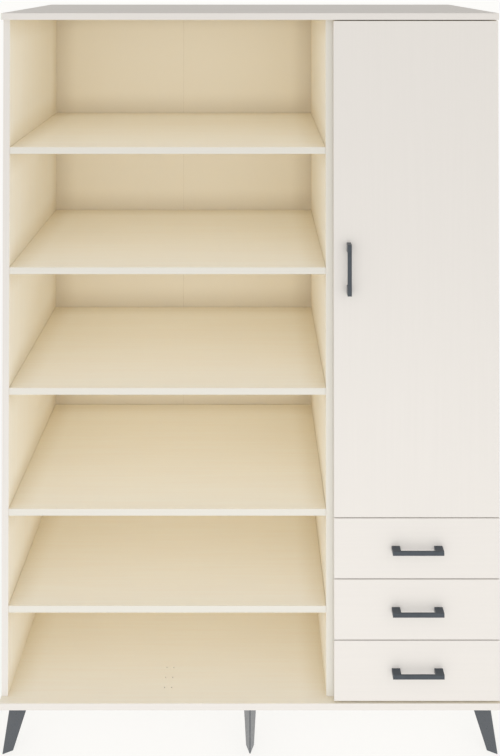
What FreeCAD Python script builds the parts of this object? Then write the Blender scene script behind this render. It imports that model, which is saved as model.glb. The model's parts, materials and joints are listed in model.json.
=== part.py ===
"""Wardrobe with drawers, in millimetres.

An open bookcase of six bays stands beside a narrow cupboard. The cupboard has one tall door
above three drawers. One top panel and one bottom panel tie both together, and six folded
steel legs carry them.

Frame: X to the right, Y to the back, Z up. The origin is on the floor, under the middle of the
box that holds the whole wardrobe, handles included.
"""
import FreeCAD, Part
import os

import Sketcher
from FreeCAD import Placement, Rotation, Vector

SIZES = (
    ("width", 1200, "carcass, left to right"),
    ("depth", 500, "front edge of the top panel to the rear of the back sheets"),
    ("side_height", 1632, "uprights, between the bottom panel and the top panel"),
    ("bookcase_width", 800, "open bookcase, over its two uprights"),
    ("board", 16, "melamine board"),
    ("back_sheet", 3, "fibreboard of the backs"),
    ("back_margin", 1, "back sheets, inside the outline of the carcass"),
    ("back_seam", 0.2, "open seam between two back sheets"),
    ("bay_bottom", 200, "clear height of the lowest bay"),
    ("bay_low", 216.5, "clear height of the second bay"),
    ("bay_open", 275, "clear height of the three bays above it"),
    ("shelf_end_gap", 0.5, "each end of a shelf to the upright"),
    ("shelf_back_gap", 1.5, "rear edge of a shelf to the back sheet"),
    ("hat_shelf_setback", 12, "hat shelf, behind the front edges of the uprights"),
    ("shelf_pin_diameter", 5, "shelf pin, in the upright"),
    ("shelf_pin_depth", 8, "shelf pin, in the upright"),
    ("shelf_pin_reach", 10, "seat of a shelf pin, under the shelf"),
    ("shelf_pin_seat", 8, "width of that seat"),
    ("shelf_pin_drop", 7, "height of that seat"),
    ("shelf_pin_inset", 50, "shelf pin, from the front edge or from the back sheet"),
    ("hole_clearance", 0.1, "round a pin, dowel or screw in its hole"),
    ("dowel_diameter", 8, "wooden dowel"),
    ("dowel_in_panel", 10, "dowel, in the face of a board"),
    ("dowel_in_end", 20, "dowel, in the end of a board"),
    ("dowel_inset", 60, "outer dowels of a joint, from the edges of the upright"),
    ("screw_diameter", 4, "wood screw"),
    ("screw_head_diameter", 8, "head of a wood screw"),
    ("screw_head_height", 2.2, "head of a wood screw"),
    ("module_screw_length", 28, "screw that ties the cupboard to the bookcase"),
    ("module_screw_inset", 90, "those screws, from the edges of the upright"),
    ("leg_height", 110, "floor to the bottom panel"),
    ("leg_steel", 3, "folded plate of a leg"),
    ("leg_flange", 3, "plate on top of a leg"),
    ("leg_half_angle", 21, "degrees, one face of a leg to the plane through its fold"),
    ("leg_face_bottom", 27, "width of a face at the floor"),
    ("leg_face_top", 50, "width of a face under the flange"),
    ("leg_lean", 20, "how far the fold leans outwards, top to floor"),
    ("leg_fold_radius", 1.5, "outside of the fold"),
    ("leg_inset", 5.2, "point of a leg, inside the edges of the bottom panel"),
    ("flange_width", 48, "plate on top of a leg, across"),
    ("flange_front", 23, "near edge of that plate, behind the point at the floor"),
    ("flange_back", 80, "far edge of that plate, behind the point at the floor"),
    ("leg_screw_length", 12, "screw, leg to bottom panel"),
    ("leg_screw_near_row", 32, "front screws, behind the point at the floor"),
    ("leg_screw_near_half", 17, "front screws, each side of the middle"),
    ("leg_screw_far_row", 72, "rear screws, behind the point at the floor"),
    ("leg_screw_far_half", 10, "rear screws, each side of the middle"),
    ("pilot_diameter", 3, "pilot hole in the bottom panel"),
    ("pilot_across", 17.4, "spacing of the two columns of pilot holes"),
    ("pilot_pitch", 28.5, "spacing of the three rows of pilot holes"),
    ("pilot_setback", 44, "first row, behind the front edge"),
    ("front_inset", 2, "faces of door and drawers, behind the edges of the panels"),
    ("front_gap", 2, "back of a front to the edge of an upright"),
    ("front_margin", 1.5, "ends of a front, inside the cupboard"),
    ("reveal", 2.4, "gap between two fronts"),
    ("top_reveal", 2.6, "gap above the door"),
    ("bottom_reveal", 4, "gap below the lowest drawer"),
    ("drawer_front_height", 143, "one drawer front"),
    ("edge_radius", 0.8, "eased edges of a front"),
    ("handle_length", 122, "handle, overall"),
    ("handle_width", 10, "handle, across"),
    ("handle_projection", 20, "handle, out from the front"),
    ("handle_bar", 3.5, "thickness of the grip"),
    ("handle_foot", 20, "length of each foot"),
    ("handle_edge_radius", 0.6, "eased edges of a handle"),
    ("handle_spacing", 96, "screw holes of a handle"),
    ("handle_thread_diameter", 3.3, "threaded hole in a foot"),
    ("handle_thread_depth", 14, "threaded hole in a foot"),
    ("handle_lift", 1.3, "middle of a handle, above the middle of its front"),
    ("door_handle_inset", 36, "middle of the door handle, from the free edge of the door"),
    ("runner_rear_gap", 25, "rear end of a closed runner to the back sheet"),
    ("runner_height", 45, "drawer runner"),
    ("runner_thickness", 12.7, "drawer runner"),
    ("runner_steel", 1.2, "sheet of a runner"),
    ("runner_clearance", 0.4, "between two members of a runner"),
    ("runner_setback", 2, "runner, behind the front edge of the upright"),
    ("runner_lip", 10.5, "flanges of the cabinet member"),
    ("drawer_box_lift", 14, "drawer box, above the lower edge of its front"),
    ("drawer_box_height", 100, "sides of a drawer box"),
    ("groove_height", 10, "groove for the drawer bottom, above the lower edge of the box"),
    ("groove_depth", 7.5, "groove for the drawer bottom"),
    ("groove_clearance", 0.1, "drawer bottom in its groove"),
    ("groove_end_gap", 0.5, "edge of the drawer bottom to the end of the groove"),
    ("drawer_sheet", 3, "fibreboard of a drawer bottom"),
    ("rail_diameter", 25, "clothes rail"),
    ("rail_wall", 1.2, "clothes rail"),
    ("rail_drop", 55, "middle of the rail, below the hat shelf"),
    ("rail_end_gap", 1, "end of the rail in its socket"),
    ("socket_flange_diameter", 45, "rail socket"),
    ("socket_flange", 4, "thickness of its flange"),
    ("socket_wall", 3, "round the rail"),
    ("socket_reach", 14, "rail socket, out from the upright"),
    ("socket_clearance", 0.2, "round the rail"),
    ("hinge_inset", 100, "outer hinges, from the ends of the door"),
    ("cup_diameter", 35, "hinge cup"),
    ("cup_depth", 11.5, "hinge cup, in the door"),
    ("cup_floor", 1, "bottom of the hinge cup"),
    ("cup_edge", 22.5, "middle of the hinge cup, from the edge of the door"),
    ("cup_clearance", 0.1, "round the cup in its recess"),
    ("cup_flange", 1, "thickness of the flange on the door"),
    ("cup_flange_length", 52, "that flange, up and down"),
    ("cup_flange_width", 28, "that flange, across"),
    ("cup_slot", 12, "opening of the cup, up and down"),
    ("cup_slot_near", 6.5, "end of that opening, from the edge of the door"),
    ("cup_slot_far", 38, "other end of that opening"),
    ("cup_pivot_edge", 9, "pivot in the cup, from the edge of the door"),
    ("cup_pivot_depth", 4.5, "pivot in the cup, below the back of the door"),
    ("arm_pivot_edge", 26.2, "pivot on the arm, from the edge of the closed door"),
    ("arm_pivot_depth", 3.8, "pivot on the arm, below the back of the closed door"),
    ("arm_eye", 2.8, "arm, each side of its pivot"),
    ("arm_width", 11.2, "arm, up and down"),
    ("arm_slot", 6.2, "fork of the arm, up and down"),
    ("arm_thickness", 12, "arm, out from its plate"),
    ("arm_web", 2, "back of the fork"),
    ("arm_neck", 4, "narrow end of the arm, behind the door"),
    ("arm_shoulder", 12, "full arm, behind the door"),
    ("arm_length", 60, "end of the arm, behind the door"),
    ("link_width", 6, "hinge link, up and down"),
    ("link_eye", 1.9, "hinge link, round the pivot in the cup"),
    ("link_arm_eye", 2.1, "hinge link, round the pivot on the arm"),
    ("link_front", 10, "far side of the link's bow, below the back of the door"),
    ("link_bow", 1.9, "thickness of the link's bow"),
    ("link_ease", 1.1, "cut corners of the link"),
    ("hinge_pin_diameter", 2.5, "hinge pin"),
    ("hinge_pin_clearance", 0.05, "round a hinge pin that turns"),
    ("cup_pin_length", 18, "pin in the cup"),
    ("plate_thickness", 7, "hinge plate, under the arm"),
    ("plate_width", 18, "hinge plate, up and down"),
    ("plate_start", 22, "hinge plate, behind the back of the door"),
    ("plate_length", 40, "hinge plate, front to back"),
    ("plate_wing", 3, "thickness of the wings of the plate"),
    ("plate_wing_length", 48, "plate over its wings, up and down"),
    ("plate_wing_width", 14, "wings, front to back"),
)

doc = FreeCAD.newDocument("Wardrobe")
sheet = doc.addObject("Spreadsheet::Sheet", "dim")
for row, (alias, number, note) in enumerate(SIZES, start=1):
    sheet.set(f"A{row}", str(number))
    sheet.setAlias(f"A{row}", alias)
    sheet.set(f"B{row}", note)
doc.recompute()

# Places that several pieces share, as expressions on the sheet
LEFT = "(-dim.width / 2)"
RIGHT = "(dim.width / 2)"
SPLIT = f"({LEFT} + dim.bookcase_width)"
BOOKCASE_LEFT = f"({LEFT} + dim.board)"
BOOKCASE_RIGHT = f"({SPLIT} - dim.board)"
BOOKCASE_MIDDLE = f"({LEFT} + dim.bookcase_width / 2)"
CUPBOARD_LEFT = f"({SPLIT} + dim.board)"
CUPBOARD_RIGHT = f"({RIGHT} - dim.board)"

FRONT = "(-(dim.depth - dim.handle_projection + dim.front_inset) / 2)"
FRONT_FACE = f"({FRONT} + dim.front_inset)"
FRONT_BACK = f"({FRONT_FACE} + dim.board)"
SIDE_FRONT = f"({FRONT_BACK} + dim.front_gap)"
REAR = f"({FRONT} + dim.depth)"
BACK_FACE = f"({REAR} - dim.back_sheet)"
SHELF_REAR = f"({BACK_FACE} - dim.shelf_back_gap)"

UNDER = "dim.leg_height"
BOTTOM_TOP = f"({UNDER} + dim.board)"
TOP_UNDER = f"({BOTTOM_TOP} + dim.side_height)"
TOP = f"({TOP_UNDER} + dim.board)"

FRONT_LEFT = f"({SPLIT} + dim.front_margin)"
FRONT_RIGHT = f"({RIGHT} - dim.front_margin)"
FRONT_PITCH = "(dim.drawer_front_height + dim.reveal)"
DRAWER_UNDER = {
    number: f"({BOTTOM_TOP} + dim.bottom_reveal + {3 - number} * {FRONT_PITCH})"
    for number in (1, 2, 3)
}
DOOR_UNDER = f"({DRAWER_UNDER[1]} + {FRONT_PITCH})"
DOOR_TOP = f"({TOP_UNDER} - dim.top_reveal)"
FLOOR_UNDER = f"({DOOR_UNDER} - dim.reveal / 2 - dim.board / 2)"
FLOOR_TOP = f"({FLOOR_UNDER} + dim.board)"

# Shelves are numbered from the top, and stack up from the bottom panel
SHELF_UNDER = {5: f"({BOTTOM_TOP} + dim.bay_bottom)"}
SHELF_UNDER[4] = f"({SHELF_UNDER[5]} + dim.board + dim.bay_low)"
for number in (3, 2, 1):
    SHELF_UNDER[number] = f"({SHELF_UNDER[number + 1]} + dim.board + dim.bay_open)"

# A drawer box is as wide as its runners leave room for, and as long as they are
RUNNER_FRONT = f"({SIDE_FRONT} + dim.runner_setback)"
RUNNER_LENGTH = f"({BACK_FACE} - dim.runner_rear_gap - {RUNNER_FRONT})"
BOX_LEFT = f"({CUPBOARD_LEFT} + dim.runner_thickness)"
BOX_RIGHT = f"({CUPBOARD_RIGHT} - dim.runner_thickness)"
BOX_REAR = f"({FRONT_BACK} + {RUNNER_LENGTH})"

HINGE_HEIGHTS = (
    f"({DOOR_UNDER} + dim.hinge_inset)",
    f"(({DOOR_UNDER} + {DOOR_TOP}) / 2)",
    f"({DOOR_TOP} - dim.hinge_inset)",
)

X_AXIS = Vector(1, 0, 0)
Y_AXIS = Vector(0, 1, 0)
Z_AXIS = Vector(0, 0, 1)

nodes = []


def value(expression):
    """Number that an expression on the sheet gives."""
    return float(sheet.evalExpression(expression))


def node(piece):
    """Mark a finished sub-part: its Label names its file."""
    nodes.append(piece)
    return piece


def place(piece, x="0", y="0", z="0"):
    """Bind the place of a piece to the sheet."""
    for axis, expression in zip("xyz", (x, y, z)):
        piece.setExpression(f"Placement.Base.{axis}", expression)
    return piece


def box(label, x, y, z):
    """Box between three pairs of expressions."""
    piece = doc.addObject("Part::Box", label)
    for size, (low, high) in zip(("Length", "Width", "Height"), (x, y, z)):
        piece.setExpression(size, f"{high} - ({low})")
    return place(piece, x[0], y[0], z[0])


def rod(label, diameter, length, axis, x="0", y="0", z="0"):
    """Cylinder that starts at a point and runs along an axis."""
    piece = doc.addObject("Part::Cylinder", label)
    piece.Placement = Placement(Vector(), Rotation(Z_AXIS, axis))
    piece.setExpression("Radius", f"({diameter}) / 2")
    piece.setExpression("Height", length)
    return place(piece, x, y, z)


def fuse(label, *pieces):
    """One solid of several."""
    piece = doc.addObject("Part::MultiFuse", label)
    piece.Shapes = list(pieces)
    piece.Refine = True
    return piece


def cut(label, base, *tools):
    """What is left of one solid when others are taken out of it."""
    piece = doc.addObject("Part::Cut", label)
    piece.Base = base
    piece.Tool = tools[0] if len(tools) == 1 else fuse(f"{label}_tools", *tools)
    return piece


def copies(label, master, places):
    """The same solid at several places, as separate solids of one group."""
    doc.recompute()
    group = doc.addObject("Part::Feature", label)
    solids = []
    for spot in places:
        solid = master.Shape.Solids[0].copy()
        solid.Placement = spot.multiply(solid.Placement)
        solids.append(solid)
    group.Shape = Part.Compound(solids)
    return group


def spot(x, y, z, turn=Rotation()):
    """Place for one copy, from expressions."""
    return Placement(Vector(value(x), value(y), value(z)), turn)


def plane(body, role):
    """One of the three origin planes of a body."""
    return next(item for item in body.Origin.OriginFeatures if item.Role == role)


def attached_sketch(body, name, role, lift="0"):
    """Empty sketch on an origin plane of its body, or lifted off it."""
    sketch = body.newObject("Sketcher::SketchObject", name)
    sketch.AttachmentSupport = [(plane(body, role), "")]
    sketch.MapMode = "FlatFace"
    sketch.setExpression("AttachmentOffset.Base.z", lift)
    return sketch


def hold_point(sketch, geometry, point, x, y):
    """Dimension one point of a sketch from the origin, both ways."""
    for kind, expression in (("DistanceX", x), ("DistanceY", y)):
        rule = Sketcher.Constraint(kind, geometry, point, value(expression))
        index = sketch.addConstraint(rule)
        sketch.setExpression(f"Constraints[{index}]", expression)


def outline(body, name, role, points, lift="0"):
    """Sketch of a closed outline with straight sides."""
    sketch = attached_sketch(body, name, role, lift)
    corners = [Vector(value(x), value(y), 0) for x, y in points]
    for index, corner in enumerate(corners):
        following = corners[(index + 1) % len(corners)]
        sketch.addGeometry(Part.LineSegment(corner, following), False)
    for index in range(len(corners)):
        following = (index + 1) % len(corners)
        sketch.addConstraint(Sketcher.Constraint("Coincident", index, 2, following, 1))
    for index, (x, y) in enumerate(points):
        hold_point(sketch, index, 1, x, y)
    return sketch


def rounds(body, name, role, diameter, centres, lift="0"):
    """Sketch of equal circles."""
    sketch = attached_sketch(body, name, role, lift)
    radius = value(diameter) / 2
    for index, (x, y) in enumerate(centres):
        centre = Vector(value(x), value(y), 0)
        sketch.addGeometry(Part.Circle(centre, Z_AXIS, radius), False)
        hold_point(sketch, index, 3, x, y)
        rule = sketch.addConstraint(Sketcher.Constraint("Diameter", index, 2 * radius))
        sketch.setExpression(f"Constraints[{rule}]", diameter)
    return sketch


def pad(body, name, sketch, length, both_ways=False, back=False):
    """Pad of a sketch, one way or evenly both ways."""
    feature = body.newObject("PartDesign::Pad", name)
    feature.Profile = sketch
    feature.setExpression("Length", length)
    feature.SideType = "Symmetric" if both_ways else "One side"
    feature.Reversed = back
    doc.recompute()
    return feature


def pocket(body, name, sketch, depth, both_ways=False, back=False):
    """Pocket of a sketch, which has to take something away."""
    before = body.Shape.Volume
    feature = body.newObject("PartDesign::Pocket", name)
    feature.Profile = sketch
    feature.setExpression("Length", depth)
    feature.SideType = "Symmetric" if both_ways else "One side"
    feature.Reversed = back
    doc.recompute()
    if body.Shape.Volume >= before:
        raise RuntimeError(f"{body.Label}: {name} takes nothing away")
    return feature


def ease(body, name, radius, chosen):
    """Round the edges of a body that a test chooses."""
    base = body.Tip
    names = [
        f"Edge{index}"
        for index, edge in enumerate(base.Shape.Edges, start=1)
        if chosen(edge)
    ]
    feature = body.newObject("PartDesign::Fillet", name)
    feature.Base = (base, names)
    feature.setExpression("Radius", radius)
    doc.recompute()
    return feature


def lies_at(edge, axis, level):
    """Whether both ends of an edge lie at one level along an axis."""
    return all(abs(getattr(vertex.Point, axis) - level) < 1e-4 for vertex in edge.Vertexes)


# Wood screw: the head sits on a face at the origin, the shank runs down
def screw(label, length):
    head = rod(f"{label}_head", "dim.screw_head_diameter", "dim.screw_head_height", Z_AXIS)
    shank = rod(f"{label}_shank", "dim.screw_diameter", length, -Z_AXIS)
    return fuse(label, head, shank)


def screw_hole(label, length):
    """Hole for such a screw, from the face at the origin down."""
    depth = f"{length} + dim.hole_clearance"
    return rod(label, "dim.screw_diameter + 2 * dim.hole_clearance", depth, -Z_AXIS)


# Legs: a folded plate that widens upwards, its fold leaning outwards, under a welded flange
LEG_TOP = "(dim.leg_height - dim.leg_flange)"
LEG_SCREWS = tuple(
    (f"{sign} * dim.leg_screw_{row}_half", f"dim.leg_screw_{row}_row")
    for row in ("near", "far")
    for sign in (-1, 1)
)
LEGS = (
    ("leg_front_left", f"{LEFT} + dim.leg_inset", f"{FRONT} + dim.leg_inset", -45),
    ("leg_front_centre", "0", f"{FRONT} + dim.leg_inset", 0),
    ("leg_front_right", f"{RIGHT} - dim.leg_inset", f"{FRONT} + dim.leg_inset", 45),
    ("leg_back_left", f"{LEFT} + dim.leg_inset", f"{BACK_FACE} - dim.leg_inset", -135),
    ("leg_back_centre", "0", f"{BACK_FACE} - dim.leg_inset", 180),
    ("leg_back_right", f"{RIGHT} - dim.leg_inset", f"{BACK_FACE} - dim.leg_inset", 135),
)


def fold_outline(face, fold):
    """Section of a leg: two faces of one width that meet in a fold."""
    across = "sin(dim.leg_half_angle)"
    along = "cos(dim.leg_half_angle)"
    outer = (f"{face} * {across}", f"{fold} + {face} * {along}")
    inner = (
        f"{face} * {across} - dim.leg_steel * {along}",
        f"{fold} + {face} * {along} + dim.leg_steel * {across}",
    )
    return (
        ("0", fold),
        outer,
        inner,
        ("0", f"{fold} + dim.leg_steel / {across}"),
        (f"-({inner[0]})", inner[1]),
        (f"-({outer[0]})", outer[1]),
    )


def leg(label, x, y, turn):
    """Leg that stands with the point of its fold at x, y."""
    body = doc.addObject("PartDesign::Body", label)
    foot = outline(body, f"{label}_foot", "XY_Plane", fold_outline("dim.leg_face_bottom", "0"))
    top = fold_outline("dim.leg_face_top", "dim.leg_lean")
    plate = body.newObject("PartDesign::AdditiveLoft", f"{label}_plate")
    plate.Profile = foot
    plate.Sections = [outline(body, f"{label}_top", "XY_Plane", top, LEG_TOP)]
    plate.Ruled = True
    doc.recompute()
    tip = Vector(0, 0, 0)
    fold_top = Vector(0, value("dim.leg_lean"), value(LEG_TOP))

    def is_fold(edge):
        ends = [vertex.Point for vertex in edge.Vertexes]
        return all(min(end.distanceToPoint(p) for p in (tip, fold_top)) < 1e-4 for end in ends)

    ease(body, f"{label}_fold", "dim.leg_fold_radius", is_fold)
    half = "dim.flange_width / 2"
    flange = (
        (f"-{half}", "dim.flange_front"),
        (half, "dim.flange_front"),
        (half, "dim.flange_back"),
        (f"-{half}", "dim.flange_back"),
    )
    rim = outline(body, f"{label}_rim", "XY_Plane", flange, LEG_TOP)
    pad(body, f"{label}_flange", rim, "dim.leg_flange")
    bore = "dim.screw_diameter + 2 * dim.hole_clearance"
    holes = rounds(body, f"{label}_holes", "XY_Plane", bore, LEG_SCREWS, "dim.leg_height")
    pocket(body, f"{label}_screw_holes", holes, "dim.leg_flange")
    body.Placement = Placement(Vector(), Rotation(Z_AXIS, turn))
    return node(place(body, x, y))


for leg_label, leg_x, leg_y, leg_turn in LEGS:
    leg(leg_label, leg_x, leg_y, leg_turn)

# The heads of the leg screws bear on the flanges from below
leg_screw_places = []
for leg_label, leg_x, leg_y, leg_turn in LEGS:
    stand = spot(leg_x, leg_y, "0", Rotation(Z_AXIS, leg_turn))
    for screw_x, screw_y in LEG_SCREWS:
        upright = Rotation(X_AXIS, 180)
        leg_screw_places.append(stand.multiply(spot(screw_x, screw_y, LEG_TOP, upright)))
leg_screw = screw("leg_screw", "dim.leg_screw_length")
node(copies("leg_screws", leg_screw, leg_screw_places))
leg_screw_holes = copies(
    "leg_screw_holes", screw_hole("leg_screw_hole", "dim.leg_screw_length"), leg_screw_places
)

# Dowels join the uprights to the panels and the cupboard floor to its uprights
DOWEL_ROWS = (
    f"({SIDE_FRONT} + dim.dowel_inset)",
    f"(({SIDE_FRONT} + {BACK_FACE}) / 2)",
    f"({BACK_FACE} - dim.dowel_inset)",
)
UPRIGHTS = {
    "bookcase_left_side": (LEFT, BOOKCASE_LEFT),
    "bookcase_right_side": (BOOKCASE_RIGHT, SPLIT),
    "cupboard_left_side": (SPLIT, CUPBOARD_LEFT),
    "cupboard_right_side": (CUPBOARD_RIGHT, RIGHT),
}
DOWEL_LENGTH = "dim.dowel_in_panel + dim.dowel_in_end"
FLOOR_MIDDLE = f"({FLOOR_UNDER} + dim.board / 2)"
dowel_places = []
for dowel_y in DOWEL_ROWS:
    for low, high in UPRIGHTS.values():
        middle = f"({low} + {high}) / 2"
        dowel_places.append(spot(middle, dowel_y, f"{BOTTOM_TOP} - dim.dowel_in_panel"))
        down = Rotation(X_AXIS, 180)
        dowel_places.append(spot(middle, dowel_y, f"{TOP_UNDER} + dim.dowel_in_panel", down))
    for side, sign in ((CUPBOARD_LEFT, 1), (CUPBOARD_RIGHT, -1)):
        start = f"{side} - {sign} * dim.dowel_in_panel"
        dowel_places.append(spot(start, dowel_y, FLOOR_MIDDLE, Rotation(Y_AXIS, 90 * sign)))
dowel = rod("dowel", "dim.dowel_diameter", DOWEL_LENGTH, Z_AXIS)
node(copies("carcass_dowels", dowel, dowel_places))
dowel_bore = "dim.dowel_diameter + 2 * dim.hole_clearance"
dowel_hole_length = f"{DOWEL_LENGTH} + 2 * dim.hole_clearance"
dowel_hole = rod("dowel_hole", dowel_bore, dowel_hole_length, Z_AXIS, z="-dim.hole_clearance")
dowel_holes = copies("dowel_holes", dowel_hole, dowel_places)

# Shelf pins: a round shank in the upright and a flat seat under the shelf
PIN_ROWS = (f"({SIDE_FRONT} + dim.shelf_pin_inset)", f"({BACK_FACE} - dim.shelf_pin_inset)")
shank_height = "-dim.shelf_pin_drop / 2"
pin_shank = rod("pin_shank", "dim.shelf_pin_diameter", "dim.shelf_pin_depth", -X_AXIS, z=shank_height)
seat_half = "dim.shelf_pin_seat / 2"
pin_seat = box(
    "pin_seat",
    ("0", "dim.shelf_pin_reach"),
    (f"-{seat_half}", seat_half),
    ("-dim.shelf_pin_drop", "0"),
)
pin_hole = rod(
    "pin_hole",
    "dim.shelf_pin_diameter + 2 * dim.hole_clearance",
    "dim.shelf_pin_depth + dim.hole_clearance",
    -X_AXIS,
    z=shank_height,
)
pin_spans = [(BOOKCASE_LEFT, BOOKCASE_RIGHT, under) for under in SHELF_UNDER.values()]
pin_spans.append((CUPBOARD_LEFT, CUPBOARD_RIGHT, SHELF_UNDER[1]))
pin_places = []
for low, high, under in pin_spans:
    for pin_y in PIN_ROWS:
        pin_places.append(spot(low, pin_y, under))
        pin_places.append(spot(high, pin_y, under, Rotation(Z_AXIS, 180)))
node(copies("shelf_pins", fuse("shelf_pin", pin_shank, pin_seat), pin_places))
pin_holes = copies("pin_holes", pin_hole, pin_places)

# Screws tie the cupboard to the bookcase from inside the cupboard
module_rows = (f"{SIDE_FRONT} + dim.module_screw_inset", f"{BACK_FACE} - dim.module_screw_inset")
module_heights = (
    f"{FLOOR_TOP} + dim.module_screw_inset",
    f"({FLOOR_TOP} + {TOP_UNDER}) / 2",
    f"{TOP_UNDER} - dim.module_screw_inset",
)
module_places = [
    spot(CUPBOARD_LEFT, row, height, Rotation(Y_AXIS, 90))
    for row in module_rows
    for height in module_heights
]
module_screw = screw("module_screw", "dim.module_screw_length")
node(copies("module_screws", module_screw, module_places))
module_hole = screw_hole("module_hole", "dim.module_screw_length")
module_holes = copies("module_holes", module_hole, module_places)

# Top and bottom panels, with the six pilot holes that show in the bottom one
PANEL_DEPTH = (FRONT, BACK_FACE)
top_blank = box("top_blank", (LEFT, RIGHT), PANEL_DEPTH, (TOP_UNDER, TOP))
node(cut("top_panel", top_blank, dowel_holes))
pilot = rod("pilot", "dim.pilot_diameter", "dim.board", Z_AXIS)
pilot_places = [
    spot(
        f"{BOOKCASE_MIDDLE} + {sign} * dim.pilot_across / 2",
        f"{FRONT} + dim.pilot_setback + {row} * dim.pilot_pitch",
        UNDER,
    )
    for row in range(3)
    for sign in (-1, 1)
]
pilot_holes = copies("pilot_holes", pilot, pilot_places)
bottom_blank = box("bottom_blank", (LEFT, RIGHT), PANEL_DEPTH, (UNDER, BOTTOM_TOP))
node(cut("bottom_panel", bottom_blank, dowel_holes, leg_screw_holes, pilot_holes))

# Uprights
for side_label, side_span in UPRIGHTS.items():
    blank = box(f"{side_label}_blank", side_span, (SIDE_FRONT, BACK_FACE), (BOTTOM_TOP, TOP_UNDER))
    side_tools = [dowel_holes, pin_holes]
    if side_label in ("bookcase_right_side", "cupboard_left_side"):
        side_tools.append(module_holes)
    node(cut(side_label, blank, *side_tools))

# Back sheets: two behind the bookcase with a seam between them, one behind the cupboard
half_seam = "dim.back_seam / 2"
sheet_height = (f"{UNDER} + dim.back_margin", f"{TOP} - dim.back_margin")
sheet_spans = {
    "back_sheet_left": (f"{LEFT} + dim.back_margin", f"{BOOKCASE_MIDDLE} - {half_seam}"),
    "back_sheet_middle": (f"{BOOKCASE_MIDDLE} + {half_seam}", f"{SPLIT} - {half_seam}"),
    "back_sheet_right": (f"{SPLIT} + {half_seam}", f"{RIGHT} - dim.back_margin"),
}
for sheet_label, sheet_span in sheet_spans.items():
    node(box(sheet_label, sheet_span, (BACK_FACE, REAR), sheet_height))

# Shelves
shelf_span = (f"{BOOKCASE_LEFT} + dim.shelf_end_gap", f"{BOOKCASE_RIGHT} - dim.shelf_end_gap")
for number in sorted(SHELF_UNDER):
    shelf_height = (SHELF_UNDER[number], f"{SHELF_UNDER[number]} + dim.board")
    node(box(f"shelf_{number}", shelf_span, (SIDE_FRONT, SHELF_REAR), shelf_height))
hat_span = (f"{CUPBOARD_LEFT} + dim.shelf_end_gap", f"{CUPBOARD_RIGHT} - dim.shelf_end_gap")
hat_depth = (f"{SIDE_FRONT} + dim.hat_shelf_setback", SHELF_REAR)
node(box("hat_shelf", hat_span, hat_depth, (SHELF_UNDER[1], f"{SHELF_UNDER[1]} + dim.board")))
floor_blank = box(
    "floor_blank", (CUPBOARD_LEFT, CUPBOARD_RIGHT), (SIDE_FRONT, BACK_FACE), (FLOOR_UNDER, FLOOR_TOP)
)
node(cut("cupboard_floor", floor_blank, dowel_holes))

# Clothes rail under the hat shelf, in a socket on each upright
RAIL_Y = f"({SIDE_FRONT} + {BACK_FACE}) / 2"
RAIL_Z = f"{SHELF_UNDER[1]} - dim.rail_drop"
rail_start = f"{CUPBOARD_LEFT} + dim.socket_flange + dim.rail_end_gap"
rail_length = f"{CUPBOARD_RIGHT} - dim.socket_flange - dim.rail_end_gap - ({rail_start})"
rail_bore = "dim.rail_diameter - 2 * dim.rail_wall"
rail_tube = rod("rail_tube", "dim.rail_diameter", rail_length, X_AXIS, rail_start, RAIL_Y, RAIL_Z)
rail_hollow = rod("rail_hollow", rail_bore, rail_length, X_AXIS, rail_start, RAIL_Y, RAIL_Z)
node(cut("clothes_rail", rail_tube, rail_hollow))
socket_bore = "dim.rail_diameter + 2 * dim.socket_clearance"
socket_collar = f"{socket_bore} + 2 * dim.socket_wall"
socket_disc = rod("socket_disc", "dim.socket_flange_diameter", "dim.socket_flange", X_AXIS)
socket_ring = rod("socket_ring", socket_collar, "dim.socket_reach", X_AXIS)
socket_seat = rod("socket_seat", socket_bore, "dim.socket_reach", X_AXIS, "dim.socket_flange")
socket_blank = fuse("socket_blank", socket_disc, socket_ring)
socket_places = [
    spot(CUPBOARD_LEFT, RAIL_Y, RAIL_Z),
    spot(CUPBOARD_RIGHT, RAIL_Y, RAIL_Z, Rotation(Z_AXIS, 180)),
]
node(copies("rail_sockets", cut("rail_socket", socket_blank, socket_seat), socket_places))


# Door and drawer fronts: the sketch lies on the back of the board, which grows to the front
def front_board(label, under, top):
    """Front with eased edges on its face."""
    body = doc.addObject("PartDesign::Body", label)
    corners = ((FRONT_LEFT, under), (FRONT_RIGHT, under), (FRONT_RIGHT, top), (FRONT_LEFT, top))
    blank = outline(body, f"{label}_outline", "XZ_Plane", corners)
    pad(body, f"{label}_board", blank, "dim.board")
    face = -value("dim.board")
    ease(body, f"{label}_edges", "dim.edge_radius", lambda edge: lies_at(edge, "y", face))
    return node(place(body, y=FRONT_BACK))


def handle(label, x, z, upright=False):
    """Bridge handle: two feet and a thin grip, with a threaded hole in each foot."""
    body = doc.addObject("PartDesign::Body", label)
    end = "dim.handle_length / 2"
    foot = f"{end} - dim.handle_foot"
    grip = "-(dim.handle_projection - dim.handle_bar)"
    bridge = (
        (f"-{end}", "0"),
        (f"-{end}", "-dim.handle_projection"),
        (end, "-dim.handle_projection"),
        (end, "0"),
        (foot, "0"),
        (foot, grip),
        (f"-({foot})", grip),
        (f"-({foot})", "0"),
    )
    side = outline(body, f"{label}_side", "XY_Plane", bridge)
    pad(body, f"{label}_bar", side, "dim.handle_width", both_ways=True)
    face = -value("dim.handle_projection")
    ease(body, f"{label}_edges", "dim.handle_edge_radius", lambda edge: lies_at(edge, "y", face))
    spacing = (("-dim.handle_spacing / 2", "0"), ("dim.handle_spacing / 2", "0"))
    holes = rounds(body, f"{label}_holes", "XZ_Plane", "dim.handle_thread_diameter", spacing)
    pocket(body, f"{label}_threads", holes, "dim.handle_thread_depth", back=True)
    if upright:
        body.Placement = Placement(Vector(), Rotation(Y_AXIS, 90))
    return node(place(body, x, FRONT_FACE, z))


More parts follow.
